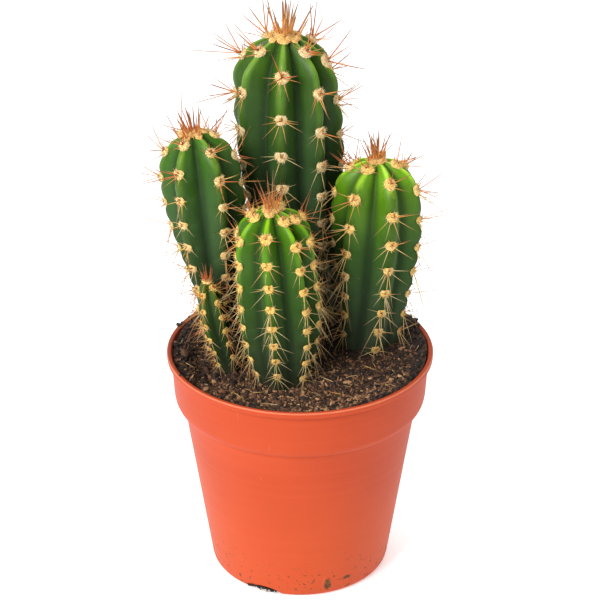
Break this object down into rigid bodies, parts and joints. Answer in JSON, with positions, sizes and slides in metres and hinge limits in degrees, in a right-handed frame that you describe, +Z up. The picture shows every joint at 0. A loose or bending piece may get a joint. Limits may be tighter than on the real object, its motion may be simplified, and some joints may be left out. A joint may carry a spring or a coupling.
{
  "type": "potted columnar cactus",
  "caption": "Potted columnar cactus: ribbed, spined green stems of several heights in dark peat soil, in a round tapered terracotta-coloured plastic nursery pot with drainage notches.",
  "frame": {"origin": "centre of the pot's underside, on the surface that the pot stands on", "axes": "+Z up along the pot's axis; -Y is the front, where the lowest large stem stands; +X is to the right seen from the front"},
  "size_m": [0.1509, 0.1454, 0.2819],
  "materials": {
    "pot": "satin moulded plastic, terracotta orange",
    "soil": "crumbly dark peat with bark chips and fibres",
    "stem_tall": "waxy satin green skin, felted cream areoles, tan spines",
    "stem_left": "waxy satin green skin, felted cream areoles, tan spines",
    "stem_right": "waxy satin green skin, felted cream areoles, tan spines",
    "stem_front": "waxy satin green skin, felted cream areoles, tan spines",
    "stem_small": "waxy satin green skin, felted yellow areoles, reddish tan spines"
  },
  "bodies": {
    "root": {"pot": "pot", "soil": "soil", "stem_tall": "stem_tall", "stem_left": "stem_left", "stem_right": "stem_right", "stem_front": "stem_front", "stem_small": "stem_small"}
  },
  "joints": []
}
